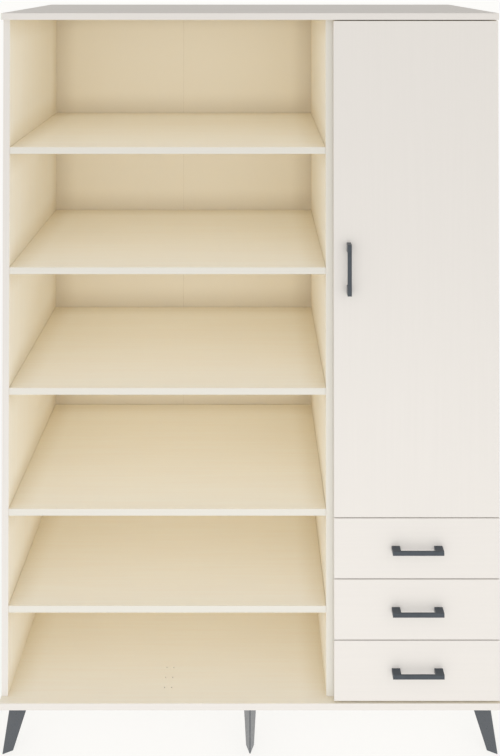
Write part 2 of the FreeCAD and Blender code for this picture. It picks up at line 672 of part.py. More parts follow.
door = front_board("door", DOOR_UNDER, DOOR_TOP)
cup_x = f"{FRONT_RIGHT} - dim.cup_edge"
recess = rounds(
    door,
    "door_recess",
    "XZ_Plane",
    "dim.cup_diameter + 2 * dim.cup_clearance",
    [(cup_x, height) for height in HINGE_HEIGHTS],
)
pocket(door, "door_recesses", recess, "dim.cup_depth + dim.cup_clearance", back=True)
handle(
    "door_handle",
    f"{FRONT_LEFT} + dim.door_handle_inset",
    f"({DOOR_UNDER} + {DOOR_TOP}) / 2 + dim.handle_lift",
    upright=True,
)

# Hinge pieces are drawn for a hinge whose door has its edge and its back at the origin
CUP_PIVOT = ("-dim.cup_pivot_edge", "-dim.cup_pivot_depth")
ARM_PIVOT = ("-dim.arm_pivot_edge", "-dim.arm_pivot_depth")
SIDE_INNER = "-(dim.board - dim.front_margin)"
PLATE_FACE = f"({SIDE_INNER} - dim.plate_thickness)"
ARM_BACK = f"({PLATE_FACE} - dim.arm_thickness)"
PIN_BORE = "dim.hinge_pin_diameter + 2 * dim.hinge_pin_clearance"
hinge_places = [spot(FRONT_RIGHT, FRONT_BACK, height) for height in HINGE_HEIGHTS]


def across(length):
    """Span of a length, evenly up and down."""
    return (f"-({length}) / 2", f"({length}) / 2")


def pin(label, diameter, length, pivot):
    """Upright rod through a pivot."""
    return rod(label, diameter, length, Z_AXIS, pivot[0], pivot[1], f"-({length}) / 2")


# Cup: a round shell in the door with a flange on it, slotted for the arm and the link
cup_shell = rod("cup_shell", "dim.cup_diameter", "dim.cup_depth", -Y_AXIS, "-dim.cup_edge")
cup_flange = box(
    "cup_flange_plate",
    ("-dim.cup_edge - dim.cup_flange_width / 2", "-dim.cup_edge + dim.cup_flange_width / 2"),
    ("0", "dim.cup_flange"),
    across("dim.cup_flange_length"),
)
cup_slot = box(
    "cup_opening",
    ("-dim.cup_slot_far", "-dim.cup_slot_near"),
    ("-(dim.cup_depth - dim.cup_floor)", "2 * dim.cup_flange"),
    across("dim.cup_slot"),
)
cup_bore = pin("cup_bore", PIN_BORE, "dim.cup_pin_length + 2 * dim.hole_clearance", CUP_PIVOT)
cup_blank = fuse("cup_blank", cup_shell, cup_flange)
node(copies("hinge_cups", cut("hinge_cup", cup_blank, cup_slot, cup_bore), hinge_places))

# Arm: a fork over the link that widens behind the door and sits on the plate
arm = doc.addObject("PartDesign::Body", "hinge_arm")
arm_near = f"{ARM_PIVOT[0]} + dim.arm_eye"
arm_far = f"{ARM_PIVOT[0]} - dim.arm_eye"
arm_tip = f"{ARM_PIVOT[1]} - dim.arm_eye"
arm_plan = (
    (arm_far, arm_tip),
    (arm_near, arm_tip),
    (arm_near, "0"),
    (PLATE_FACE, "dim.arm_shoulder / 2"),
    (PLATE_FACE, "dim.arm_length"),
    (ARM_BACK, "dim.arm_length"),
    (ARM_BACK, "dim.arm_shoulder"),
    (arm_far, "dim.arm_neck"),
)
arm_outline = outline(arm, "arm_outline", "XY_Plane", arm_plan)
pad(arm, "arm_block", arm_outline, "dim.arm_width", both_ways=True)
fork_floor = f"{ARM_BACK} + dim.arm_web"
fork_plan = (
    (fork_floor, f"{arm_tip} - dim.arm_eye"),
    ("0", f"{arm_tip} - dim.arm_eye"),
    ("0", "dim.arm_length + dim.arm_eye"),
    (fork_floor, "dim.arm_length + dim.arm_eye"),
)
fork = outline(arm, "fork_outline", "XY_Plane", fork_plan)
pocket(arm, "fork", fork, "dim.arm_slot", both_ways=True)
arm_eye = rounds(arm, "arm_eye_outline", "XY_Plane", PIN_BORE, [ARM_PIVOT])
pocket(arm, "arm_eye_hole", arm_eye, "2 * dim.arm_width", both_ways=True)
node(copies("hinge_arms", arm, hinge_places))

# Plate: the block under the arm, with two wings on the upright
plate_block = box(
    "plate_block",
    (PLATE_FACE, SIDE_INNER),
    ("dim.plate_start", "dim.plate_start + dim.plate_length"),
    across("dim.plate_width"),
)
plate_wings = box(
    "plate_wings",
    (f"{SIDE_INNER} - dim.plate_wing", SIDE_INNER),
    ("dim.plate_start", "dim.plate_start + dim.plate_wing_width"),
    across("dim.plate_wing_length"),
)
node(copies("hinge_plates", fuse("hinge_plate", plate_block, plate_wings), hinge_places))

# Link: bowed towards the floor of the cup, so that it passes round the rim as the door opens
link = doc.addObject("PartDesign::Body", "hinge_link")
bow_outer = "-dim.link_front"
bow_inner = "-(dim.link_front - dim.link_bow)"
cup_near = f"{CUP_PIVOT[0]} + dim.link_eye"
cup_far = f"{CUP_PIVOT[0]} - dim.link_eye"
cup_top = f"{CUP_PIVOT[1]} + dim.link_eye"
link_far = f"{ARM_PIVOT[0]} - dim.link_arm_eye"
link_near = f"{ARM_PIVOT[0]} + dim.link_arm_eye"
link_top = f"{ARM_PIVOT[1]} + dim.link_arm_eye"
link_plan = (
    (link_far, link_top),
    (link_far, f"{bow_outer} + dim.link_ease"),
    (f"{link_far} + dim.link_ease", bow_outer),
    (f"{cup_near} - dim.link_ease", bow_outer),
    (cup_near, f"{bow_outer} + dim.link_ease"),
    (cup_near, f"{cup_top} - dim.link_ease"),
    (f"{cup_near} - dim.link_ease", cup_top),
    (f"{cup_far} + dim.link_ease", cup_top),
    (cup_far, f"{cup_top} - dim.link_ease"),
    (f"{cup_far} - dim.link_ease", bow_inner),
    (f"{link_near} + dim.link_ease", bow_inner),
    (link_near, f"{bow_inner} + dim.link_ease"),
    (link_near, link_top),
)
link_outline = outline(link, "link_outline", "XY_Plane", link_plan)
pad(link, "link_block", link_outline, "dim.link_width", both_ways=True)
link_eyes = rounds(
    link, "link_eyes", "XY_Plane", "dim.hinge_pin_diameter", [ARM_PIVOT, CUP_PIVOT]
)
pocket(link, "link_holes", link_eyes, "2 * dim.link_width", both_ways=True)
node(copies("hinge_links", link, hinge_places))

# Pins: one through the arm's fork and one through the cup, both held by the link
arm_pin = pin("arm_pin", "dim.hinge_pin_diameter", "dim.arm_width", ARM_PIVOT)
cup_pin = pin("cup_pin", "dim.hinge_pin_diameter", "dim.cup_pin_length", CUP_PIVOT)
arm_pins = copies("arm_pins", arm_pin, hinge_places)
cup_pins = copies("cup_pins", cup_pin, hinge_places)
hinge_pins = doc.addObject("Part::Compound", "hinge_pins")
hinge_pins.Links = [arm_pins, cup_pins]
node(hinge_pins)


# Drawer runners: three channels inside one another, drawn for the left upright
def channel(label, web, lip, height):
    """Channel with its web between two planes and its flanges reaching to a third."""
    body = doc.addObject("PartDesign::Body", label)
    half = f"({height}) / 2"
    inner = f"({height}) / 2 - dim.runner_steel"
    back = f"{web} + ({lip[0]}) * dim.runner_steel"
    section = (
        (web, f"-({half})"),
        (lip[1], f"-({half})"),
        (lip[1], f"-({inner})"),
        (back, f"-({inner})"),
        (back, inner),
        (lip[1], inner),
        (lip[1], half),
        (web, half),
    )
    profile = outline(body, f"{label}_section", "XZ_Plane", section)
    pad(body, f"{label}_length", profile, RUNNER_LENGTH, back=True)
    return body


NEXT_STEP = "(dim.runner_steel + dim.runner_clearance)"
NESTED = f"2 * {NEXT_STEP}"
cabinet_member = channel("cabinet_member", "0", (1, "dim.runner_lip"), "dim.runner_height")
middle_member = channel(
    "middle_member", NEXT_STEP, (1, "dim.runner_lip"), f"dim.runner_height - {NESTED}"
)
drawer_member = channel(
    "drawer_member",
    "dim.runner_thickness",
    (-1, f"{NESTED}"),
    f"dim.runner_height - 2 * {NESTED}",
)


def runner_pair(number):
    """Places of the left and the right runner of one drawer."""
    height = f"{DRAWER_UNDER[number]} + dim.drawer_box_lift + dim.drawer_box_height / 2"
    return [
        spot(CUPBOARD_LEFT, RUNNER_FRONT, height),
        spot(CUPBOARD_RIGHT, RUNNER_FRONT, height, Rotation(Y_AXIS, 180)),
    ]


cabinet_places = [seat for number in DRAWER_UNDER for seat in runner_pair(number)]
node(copies("runner_cabinet_members", cabinet_member, cabinet_places))


# Drawers, numbered from the top
def drawer(number):
    """One drawer: front, handle, box and the runner members that move with it."""
    name = f"drawer_{number}"
    under = DRAWER_UNDER[number]
    low = f"({under} + dim.drawer_box_lift)"
    high = f"({low} + dim.drawer_box_height)"
    sheet_low = f"({low} + dim.groove_height)"
    sheet_high = f"({sheet_low} + dim.drawer_sheet)"
    groove = (f"{sheet_low} - dim.groove_clearance", f"{sheet_high} + dim.groove_clearance")
    inner_left = f"({BOX_LEFT} + dim.board)"
    inner_right = f"({BOX_RIGHT} - dim.board)"
    groove_left = f"({inner_left} - dim.groove_depth)"
    groove_right = f"({inner_right} + dim.groove_depth)"

    board = front_board(f"{name}_front", under, f"{under} + dim.drawer_front_height")
    corners = (
        (groove_left, groove[0]),
        (groove_right, groove[0]),
        (groove_right, groove[1]),
        (groove_left, groove[1]),
    )
    slot = outline(board, f"{name}_front_slot", "XZ_Plane", corners)
    pocket(board, f"{name}_front_groove", slot, "dim.groove_depth", back=True)
    middle_x = f"({FRONT_LEFT} + {FRONT_RIGHT}) / 2"
    handle_z = f"{under} + dim.drawer_front_height / 2 + dim.handle_lift"
    handle(f"{name}_handle", middle_x, handle_z)

    length = (FRONT_BACK, BOX_REAR)
    left = box(f"{name}_left_blank", (BOX_LEFT, inner_left), length, (low, high))
    left_groove = box(f"{name}_left_groove", (groove_left, inner_left), length, groove)
    node(cut(f"{name}_left_side", left, left_groove))
    right = box(f"{name}_right_blank", (inner_right, BOX_RIGHT), length, (low, high))
    right_groove = box(f"{name}_right_groove", (inner_right, groove_right), length, groove)
    node(cut(f"{name}_right_side", right, right_groove))
    back = (f"{BOX_REAR} - dim.board", BOX_REAR)
    node(box(f"{name}_back", (inner_left, inner_right), back, (sheet_high, high)))
    sheet_x = (f"{groove_left} + dim.groove_end_gap", f"{groove_right} - dim.groove_end_gap")
    sheet_y = (f"{FRONT_BACK} - dim.groove_depth + dim.groove_end_gap", BOX_REAR)
    node(box(f"{name}_bottom", sheet_x, sheet_y, (sheet_low, sheet_high)))

    pair = runner_pair(number)
    node(copies(f"runner_middle_{number}", middle_member, pair))
    node(copies(f"runner_inner_{number}", drawer_member, pair))


for number in DRAWER_UNDER:
    drawer(number)

doc.recompute()
for item in doc.Objects:
    if "Invalid" in item.State or "Error" in item.State:
        raise RuntimeError(f"{item.Label} failed: {item.State}")
for piece in nodes:
    if piece.Shape.isNull() or not piece.Shape.isValid():
        raise RuntimeError(f"{piece.Label} has no valid shape")

os.makedirs("parts", exist_ok=True)
for piece in nodes:
    piece.Shape.exportStep(f"parts/{piece.Label}.step")
print(len(nodes), "nodes,", sum(len(piece.Shape.Solids) for piece in nodes), "solids")
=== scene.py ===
"""Wardrobe with drawers: finishes, small fittings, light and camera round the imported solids.

Everything is in metres, in the frame of the solids: X to the right, Y to the back, Z up.
"""
import json
import math

import bmesh
import bpy
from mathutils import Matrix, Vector

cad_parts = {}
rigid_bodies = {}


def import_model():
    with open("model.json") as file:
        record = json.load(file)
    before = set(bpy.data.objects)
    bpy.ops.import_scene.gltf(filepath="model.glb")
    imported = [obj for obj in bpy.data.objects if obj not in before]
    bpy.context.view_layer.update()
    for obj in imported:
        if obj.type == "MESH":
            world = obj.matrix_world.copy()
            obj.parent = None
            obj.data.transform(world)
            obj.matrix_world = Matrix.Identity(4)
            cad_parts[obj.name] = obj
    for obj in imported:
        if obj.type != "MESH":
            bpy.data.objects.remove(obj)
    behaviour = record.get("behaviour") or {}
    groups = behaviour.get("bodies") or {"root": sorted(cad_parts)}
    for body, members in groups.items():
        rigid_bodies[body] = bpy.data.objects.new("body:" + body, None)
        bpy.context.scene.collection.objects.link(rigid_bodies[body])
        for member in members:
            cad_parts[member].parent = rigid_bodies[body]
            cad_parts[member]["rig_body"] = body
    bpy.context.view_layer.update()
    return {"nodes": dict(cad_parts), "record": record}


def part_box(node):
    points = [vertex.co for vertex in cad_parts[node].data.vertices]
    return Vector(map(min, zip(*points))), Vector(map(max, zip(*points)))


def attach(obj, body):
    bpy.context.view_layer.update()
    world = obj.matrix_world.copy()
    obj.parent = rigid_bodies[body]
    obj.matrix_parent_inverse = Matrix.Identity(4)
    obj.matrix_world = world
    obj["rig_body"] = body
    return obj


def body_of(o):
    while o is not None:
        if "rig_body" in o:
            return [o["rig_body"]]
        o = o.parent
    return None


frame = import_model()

MM = 0.001
MERGE = 0.001 * MM
SORT_DIGITS = 5
LEFT, RIGHT = Vector((-1, 0, 0)), Vector((1, 0, 0))
DOWN, UP = Vector((0, 0, -1)), Vector((0, 0, 1))
BACKWARD = Vector((0, 1, 0))
DRAWERS = (1, 2, 3)

# Camera: its focal length is in pixels of the photograph, and its pitch in degrees
PHOTO_HEIGHT = 756
SENSOR = 36
FOCAL_PIXELS = 816
CAMERA_PLACE = Vector((0, -2.208, 1.877))
CAMERA_PITCH = 0.58
CAMERA_SHIFT = -0.55

# Screws, cams and panel pins; the rise of a screw and of a cam is a share of the width of its head
WOOD_SCREW_HEAD = 8 * MM
HINGE_SCREW_HEAD = 7 * MM
SOCKET_SCREW_HEAD = 5 * MM
SCREW_RISE = 0.14
CAM_DIAMETER = 15 * MM
CAM_RISE = 0.03
CAM_SETBACK = 34 * MM
CAM_INSET = 26 * MM
PIN_HEAD = 3.2 * MM
PIN_RISE = 0.1 * MM
PIN_SPACING = 120 * MM
PIN_INSET = 8 * MM

# Where the screws sit on the fittings
HANDLE_SPACING = 96 * MM
PLATE_WING = 3 * MM
PLATE_WING_WIDTH = 14 * MM
PLATE_SCREW_INSET = 7 * MM
CUP_SCREW_INSET = 4.2 * MM
ARM_SCREW_INSETS = (9 * MM, 32 * MM)
SOCKET_FLANGE = 4 * MM
SOCKET_SCREW_INSET = 3.4 * MM

# Seam of the bookcase back, closed from behind with paper tape
TAPE_WIDTH = 36 * MM
TAPE_THICKNESS = 0.15 * MM


def linear(hex_colour):
    """sRGB hex colour as linear RGBA."""
    parts = [int(hex_colour[start:start + 2], 16) / 255 for start in (1, 3, 5)]
    return (*[c / 12.92 if c <= 0.04045 else ((c + 0.055) / 1.055) ** 2.4 for c in parts], 1)


def add(tree, kind, inputs=None, **settings):
    """Add a node with its settings; an input takes a value, a socket or a list of sockets."""
    node = tree.nodes.new(kind)
    for name, setting in settings.items():
        setattr(node, name, setting)
    for key, given in (inputs or {}).items():
        for item in given if isinstance(given, list) else [given]:
            if isinstance(item, bpy.types.NodeSocket):
                tree.links.new(item, node.inputs[key])
            else:
                node.inputs[key].default_value = item
    return node


# Numbers of sockets that share their names with others: those of a colour mix and of a random number
MIX_A, MIX_B, MIXED = 6, 7, 2
RANDOM_MAX, RANDOM_NUMBER = 3, 1

# Most of a noise lies between these levels, which are spread to 0 and 1
NOISE_LOW, NOISE_HIGH = 0.35, 0.65


def new_material(name):
    """Material with an empty tree."""
    material = bpy.data.materials.new(name)
    material.use_nodes = True
    material.node_tree.nodes.clear()
    return material, material.node_tree


def end_material(tree, inputs):
    """Close a material with its one shader."""
    shader = add(tree, "ShaderNodeBsdfPrincipled", inputs)
    add(tree, "ShaderNodeOutputMaterial", {"Surface": shader.outputs["BSDF"]})


def pattern(tree, size, detail=3):
    """Noise from 0 to 1 whose features measure size along X, Y and Z."""
    place = add(tree, "ShaderNodeTexCoord").outputs["Object"]
    scale = Vector([1 / side for side in size])
    mapped = add(tree, "ShaderNodeMapping", {"Vector": place, "Scale": scale}).outputs["Vector"]
    noise = add(tree, "ShaderNodeTexNoise", {"Vector": mapped, "Scale": 1, "Detail": detail})
    levels = {"Value": noise.outputs["Fac"], "From Min": NOISE_LOW, "From Max": NOISE_HIGH}
    return add(tree, "ShaderNodeMapRange", levels).outputs["Result"]


# Ways a face can look: an axis, and the limit that its normal passes
WAYS = {
    "left": ("X", -0.5),
    "right": ("X", 0.5),
    "front": ("Y", -0.5),
    "top": ("Z", 0.5),
    "floor": ("Z", -0.5),
}


def looks(tree, way):
    """1 on the faces that look the given way, else 0."""
    axis, limit = WAYS[way]
    normal = add(tree, "ShaderNodeTexCoord").outputs["Normal"]
    part = add(tree, "ShaderNodeSeparateXYZ", {0: normal}).outputs[axis]
    operation = "GREATER_THAN" if limit > 0 else "LESS_THAN"
    return add(tree, "ShaderNodeMath", {0: part, 1: limit}, operation=operation).outputs[0]


# Corners of the carcass: pale boards pass so much light on to each other that a render levels out the
# soft shade where two of them meet, so their colour is darkened a little towards the corner as painted
# shade.
CORNER_REACH = 65 * MM
CORNER_OPENNESS = 0.5
# Tones multiplied in as painted corner shade, on the boards and on the back sheets
BOARD_CORNER_SHADE = "#f1ece2"
SHEET_CORNER_SHADE = "#e7e4e0"
CORNER_SAMPLES = 4


def painted_corner_shade(tree, colour, tone):
    """Colour darkened by a tone into the corners between fixed boards: painted corner shade."""
    near = add(tree, "ShaderNodeAmbientOcclusion", {"Distance": CORNER_REACH}, samples=CORNER_SAMPLES)
    levels = {"Value": near.outputs["AO"], "From Min": CORNER_OPENNESS, "To Min": 1, "To Max": 0}
    share = add(tree, "ShaderNodeMapRange", levels).outputs["Result"]
    shaded = {"Factor": share, MIX_A: colour, MIX_B: linear(tone)}
    return add(tree, "ShaderNodeMix", shaded, data_type="RGBA", blend_type="MULTIPLY").outputs[MIXED]


# Melamine faced chipboard: printed paper under resin, pressed against a finely grained plate. It gives
# the eye an even satin surface, with streaks along the board so faint that they only break up the light.
# The streaks are drawn wider than real pores, which would not show. The faces that look into the
# wardrobe are cream; the fronts, the outer faces and the plastic bands on the edges are a paler grey
# white, a little creamier on the bands of the inner boards. This split is painted light: the boards are
# one décor, and each face is coloured by the way it looks, for how the light falls on it.
CREAM = "#faf7ed"
CREAM_STREAK = "#f9f4e9"
# Painted light: grey whites for the faces that look out and for the edge bands, where the cream faces
# look in
OUTWARD_PAINTED_LIGHT = "#e0dcd8"
OUTWARD_PAINTED_LIGHT_STREAK = "#dfdbd7"
BAND_PAINTED_LIGHT = "#dddad2"
BAND_PAINTED_LIGHT_STREAK = "#dcd9d1"
STREAK_WIDTH = 6 * MM
STREAK_LENGTH = 300 * MM
BOARD_ROUGHNESS = (0.44, 0.51)
PEARL = 1.6 * MM
PEARL_DEPTH = 0.02 * MM
PEARL_STRENGTH = 0.4
RESIN_IOR = 1.5
INNER_BOARD = ("front",)


def melamine(along, painted_light_ways, fixed):
    """Board with streaks along an axis, with the painted-light grey white on the faces that look the
    given ways.
    """
    owner = "carcass" if fixed else "moving"
    material, tree = new_material("_".join((owner, "melamine", along.lower(), "pale", *painted_light_ways)))
    streak = [STREAK_LENGTH if axis == along else STREAK_WIDTH for axis in "XYZ"]
    streaks = pattern(tree, streak, detail=5)
    creams = {"Factor": streaks, MIX_A: linear(CREAM), MIX_B: linear(CREAM_STREAK)}
    cream = add(tree, "ShaderNodeMix", creams, data_type="RGBA").outputs[MIXED]
    plain, streaked = (BAND_PAINTED_LIGHT, BAND_PAINTED_LIGHT_STREAK) if painted_light_ways == INNER_BOARD else (OUTWARD_PAINTED_LIGHT, OUTWARD_PAINTED_LIGHT_STREAK)
    greys = {"Factor": streaks, MIX_A: linear(plain), MIX_B: linear(streaked)}
    grey = add(tree, "ShaderNodeMix", greys, data_type="RGBA").outputs[MIXED]
    # Painted light: mask of the faces that take the grey white, by the way they look
    pale = looks(tree, painted_light_ways[0])
    for way in painted_light_ways[1:]:
        either = {0: pale, 1: looks(tree, way)}
        pale = add(tree, "ShaderNodeMath", either, operation="MAXIMUM").outputs[0]
    # Painted shade: the colour of fixed boards darkens into the corners where they meet others
    inner = painted_corner_shade(tree, cream, BOARD_CORNER_SHADE) if fixed else cream
    sides = {"Factor": pale, MIX_A: inner, MIX_B: grey}
    colour = add(tree, "ShaderNodeMix", sides, data_type="RGBA").outputs[MIXED]
    smooth, rough = BOARD_ROUGHNESS
    gloss = add(tree, "ShaderNodeMapRange", {"Value": streaks, "To Min": smooth, "To Max": rough})
    pearl = pattern(tree, [PEARL] * 3)
    grain = add(
        tree, "ShaderNodeBump", {"Height": pearl, "Distance": PEARL_DEPTH, "Strength": PEARL_STRENGTH}
    )
    end_material(
        tree,
        {
            "Base Color": colour,
            "Roughness": gloss.outputs["Result"],
            "Normal": grain.outputs["Normal"],
            "IOR": RESIN_IOR,
        },
    )
    return material


# Hardboard: brown wood fibre pressed hard and thin, lacquered cream on the side that shows. The eye
# sees the same cream as the boards, a little flatter, and mottled brown fibre on the other faces.
LACQUER = "#f6f0e2"
FIBRE = "#8d6c49"
FIBRE_DARK = "#6f5236"
FIBRE_FLECK = 2.5 * MM
FIBRE_CLOUD = 90 * MM
FIBRE_CLOUDING = 0.6
FIBRE_DEPTH = 0.03 * MM
FIBRE_STRENGTH = 0.3
FIBRE_ROUGHNESS = 0.8
LACQUER_ROUGHNESS = 0.55


def hardboard(lacquered_way, fixed):
    """Sheet lacquered on the faces that look one way."""
    owner = "carcass" if fixed else "moving"
    material, tree = new_material(f"{owner}_hardboard_lacquered_{lacquered_way}")
    fleck = pattern(tree, [FIBRE_FLECK] * 3, detail=6)
    cloud = pattern(tree, [FIBRE_CLOUD] * 3)
    flecks = {"Factor": fleck, MIX_A: linear(FIBRE), MIX_B: linear(FIBRE_DARK)}
    flecked = add(tree, "ShaderNodeMix", flecks, data_type="RGBA").outputs[MIXED]
    share = add(tree, "ShaderNodeMapRange", {"Value": cloud, "To Max": FIBRE_CLOUDING}).outputs["Result"]
    clouds = {"Factor": share, MIX_A: flecked, MIX_B: linear(FIBRE)}
    brown = add(tree, "ShaderNodeMix", clouds, data_type="RGBA").outputs[MIXED]
    # Painted shade: the lacquer of fixed sheets darkens into the corners where they meet boards
    lacquer = painted_corner_shade(tree, linear(LACQUER), SHEET_CORNER_SHADE) if fixed else linear(LACQUER)
    lacquered = looks(tree, lacquered_way)
    sides = {"Factor": lacquered, MIX_A: brown, MIX_B: lacquer}
    colour = add(tree, "ShaderNodeMix", sides, data_type="RGBA").outputs[MIXED]
    gloss = add(
        tree,
        "ShaderNodeMapRange",
        {"Value": lacquered, "To Min": FIBRE_ROUGHNESS, "To Max": LACQUER_ROUGHNESS},
    )
    nap = add(
        tree, "ShaderNodeBump", {"Height": fleck, "Distance": FIBRE_DEPTH, "Strength": FIBRE_STRENGTH}
    )
    end_material(
        tree,
        {
            "Base Color": colour,
            "Roughness": gloss.outputs["Result"],
            "Normal": nap.outputs["Normal"],
            "IOR": RESIN_IOR,
        },
    )
    return material


# Powder coat on folded steel: polyester powder melted into a skin with a fine orange peel. It gives
# the eye a soft dark grey with a broad sheen. The peel is drawn coarser than real, to show.
LEG_GREY = "#484d54"
LEG_GREY_DARK = "#41464d"
LEG_ROUGHNESS = (0.26, 0.36)
LEG_COAT = 0.7
LEG_COAT_ROUGHNESS = 0.22
PEEL = 2.2 * MM
PEEL_DEPTH = 0.05 * MM
PEEL_STRENGTH = 0.35


def powder_coat():
    material, tree = new_material("powder_coated_steel")
    peel = pattern(tree, [PEEL] * 3, detail=2)
    greys = {"Factor": peel, MIX_A: linear(LEG_GREY), MIX_B: linear(LEG_GREY_DARK)}
    smooth, rough = LEG_ROUGHNESS
    gloss = add(tree, "ShaderNodeMapRange", {"Value": peel, "To Min": smooth, "To Max": rough})
    skin = add(
        tree, "ShaderNodeBump", {"Height": peel, "Distance": PEEL_DEPTH, "Strength": PEEL_STRENGTH}
    )
    end_material(
        tree,
        {
            "Base Color": add(tree, "ShaderNodeMix", greys, data_type="RGBA").outputs[MIXED],
            "Roughness": gloss.outputs["Result"],
            "Normal": skin.outputs["Normal"],
            "IOR": RESIN_IOR,
            "Coat Weight": LEG_COAT,
            "Coat Roughness": LEG_COAT_ROUGHNESS,
        },
    )
    return material


# Cast zinc handle with a satin lacquer: smoother than the legs, with a tighter sheen along its edges.
HANDLE_GREY = "#333b44"
HANDLE_GREY_PALE = "#3a424b"
HANDLE_ROUGHNESS = (0.34, 0.44)
HANDLE_HAZE = 12 * MM
HANDLE_COAT = 0.2
SATIN_DEPTH = 0.02 * MM
SATIN_STRENGTH = 0.25


def satin_lacquer():
    material, tree = new_material("satin_lacquered_zinc_casting")
    haze = pattern(tree, [HANDLE_HAZE] * 3)
    greys = {"Factor": haze, MIX_A: linear(HANDLE_GREY), MIX_B: linear(HANDLE_GREY_PALE)}
    smooth, rough = HANDLE_ROUGHNESS
    gloss = add(tree, "ShaderNodeMapRange", {"Value": haze, "To Min": smooth, "To Max": rough})
    fine = pattern(tree, [PEEL] * 3)
    skin = add(
        tree, "ShaderNodeBump", {"Height": fine, "Distance": SATIN_DEPTH, "Strength": SATIN_STRENGTH}
    )
    end_material(
        tree,
        {
            "Base Color": add(tree, "ShaderNodeMix", greys, data_type="RGBA").outputs[MIXED],
            "Roughness": gloss.outputs["Result"],
            "Normal": skin.outputs["Normal"],
            "IOR": RESIN_IOR,
            "Coat Weight": HANDLE_COAT,
        },
    )
    return material


# Zinc plated steel: bright plating over rolled sheet. The eye sees a cool pale metal, hazed unevenly.
ZINC = "#c6c9cc"
ZINC_DULL = "#b2b6ba"
ZINC_ROUGHNESS = (0.28, 0.42)
ZINC_HAZE = 9 * MM


def zinc_plate():
    material, tree = new_material("zinc_plated_steel")
    haze = pattern(tree, [ZINC_HAZE] * 3, detail=5)
    greys = {"Factor": haze, MIX_A: linear(ZINC), MIX_B: linear(ZINC_DULL)}
    bright, dull = ZINC_ROUGHNESS
    gloss = add(tree, "ShaderNodeMapRange", {"Value": haze, "To Min": bright, "To Max": dull})
    end_material(
        tree,
        {
            "Base Color": add(tree, "ShaderNodeMix", greys, data_type="RGBA").outputs[MIXED],
            "Roughness": gloss.outputs["Result"],
            "Metallic": 1,
        },
    )
    return material


# Chrome plated tube: mirror bright, with faint wiping marks along the rail that soften the reflection.
CHROME = "#dcdee0"
CHROME_ROUGHNESS = (0.08, 0.18)
WIPE_LENGTH = 120 * MM
WIPE_WIDTH = 4 * MM


def chrome_plate():
    material, tree = new_material("chrome_plated_steel")
    wipes = pattern(tree, [WIPE_LENGTH, WIPE_WIDTH, WIPE_WIDTH])
    clean, wiped = CHROME_ROUGHNESS
    gloss = add(tree, "ShaderNodeMapRange", {"Value": wipes, "To Min": clean, "To Max": wiped})
    end_material(
        tree, {"Base Color": linear(CHROME), "Roughness": gloss.outputs["Result"], "Metallic": 1}
    )
    return material


# Beech: pale pinkish wood turned into dowels, with short darker rays along the dowel.
BEECH = "#d6b48a"
BEECH_RAY = "#c39c70"
BEECH_ROUGHNESS = 0.6
RAY_WIDTH = 1.2 * MM
RAY_LENGTH = 9 * MM


def beech_wood():
    material, tree = new_material("beech_dowel")
    rays = pattern(tree, [RAY_LENGTH, RAY_WIDTH, RAY_WIDTH])
    browns = {"Factor": rays, MIX_A: linear(BEECH), MIX_B: linear(BEECH_RAY)}
    colour = add(tree, "ShaderNodeMix", browns, data_type="RGBA").outputs[MIXED]
    end_material(tree, {"Base Color": colour, "Roughness": BEECH_ROUGHNESS, "IOR": RESIN_IOR})
    return material


# Kraft paper tape: brown, dry and lightly fibrous.
KRAFT = "#b48f63"
KRAFT_FIBRE = "#a37f55"
KRAFT_ROUGHNESS = 0.75
STRAND_WIDTH = 2 * MM
STRAND_LENGTH = 14 * MM


def kraft_tape():
    material, tree = new_material("kraft_paper_tape")
    strands = pattern(tree, [STRAND_WIDTH, STRAND_WIDTH, STRAND_LENGTH], detail=5)
    browns = {"Factor": strands, MIX_A: linear(KRAFT), MIX_B: linear(KRAFT_FIBRE)}
    colour = add(tree, "ShaderNodeMix", browns, data_type="RGBA").outputs[MIXED]
    end_material(tree, {"Base Color": colour, "Roughness": KRAFT_ROUGHNESS, "IOR": RESIN_IOR})
    return material


FRONT_NODES = ["door", *[f"drawer_{number}_front" for number in DRAWERS]]
HANDLE_NODES = ["door_handle", *[f"drawer_{number}_handle" for number in DRAWERS]]
# Ways of the faces of each solid that take the painted-light grey white
PAINTED_LIGHT_WAYS = {
    "top_panel": ("front", "left", "right", "top"),
    "bottom_panel": ("front", "left", "right", "floor"),
    "bookcase_left_side": ("front", "left"),
    "cupboard_right_side": ("front", "right"),
    **{node: ("front", "left", "right", "top", "floor") for node in FRONT_NODES},
    **{f"drawer_{number}_back": ("floor",) for number in DRAWERS},
}
ZINC_PLATE = zinc_plate()
PLAIN_FINISHES = {
    "leg_steel": powder_coat(),
    "handle_metal": satin_lacquer(),
    "zinc_steel": ZINC_PLATE,
    "rail_chrome": chrome_plate(),
    "beech": beech_wood(),
}
CUT_FINISHES = {}


def grain_axis(node):
    """Axis along which a board's grain runs: up a tall board, along a drawer side, else across."""
    low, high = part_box(node)
    size = high - low
    if size.z > size.x and size.z > size.y:
        return "Z"
    return "Y" if size.x < size.z else "X"


def node_finish(node, slot):
    """Finish of one solid, from its slot in the record and from how the board is cut."""
    if slot in PLAIN_FINISHES:
        return PLAIN_FINISHES[slot]
    fixed = body_of(frame["nodes"][node]) == ["carcass"]
    if slot == "fibreboard":
        kind = hardboard, "front" if fixed else "top", fixed
    else:
        kind = melamine, grain_axis(node), PAINTED_LIGHT_WAYS.get(node, INNER_BOARD), fixed
    if kind not in CUT_FINISHES:
        make, *how = kind
        CUT_FINISHES[kind] = make(*how)
    return CUT_FINISHES[kind]


def dress_solids():
    for part in frame["record"]["subparts"]:
        materials = frame["nodes"][part["node"]].data.materials
        materials.clear()
        materials.append(node_finish(part["node"], part["material_slot"]))


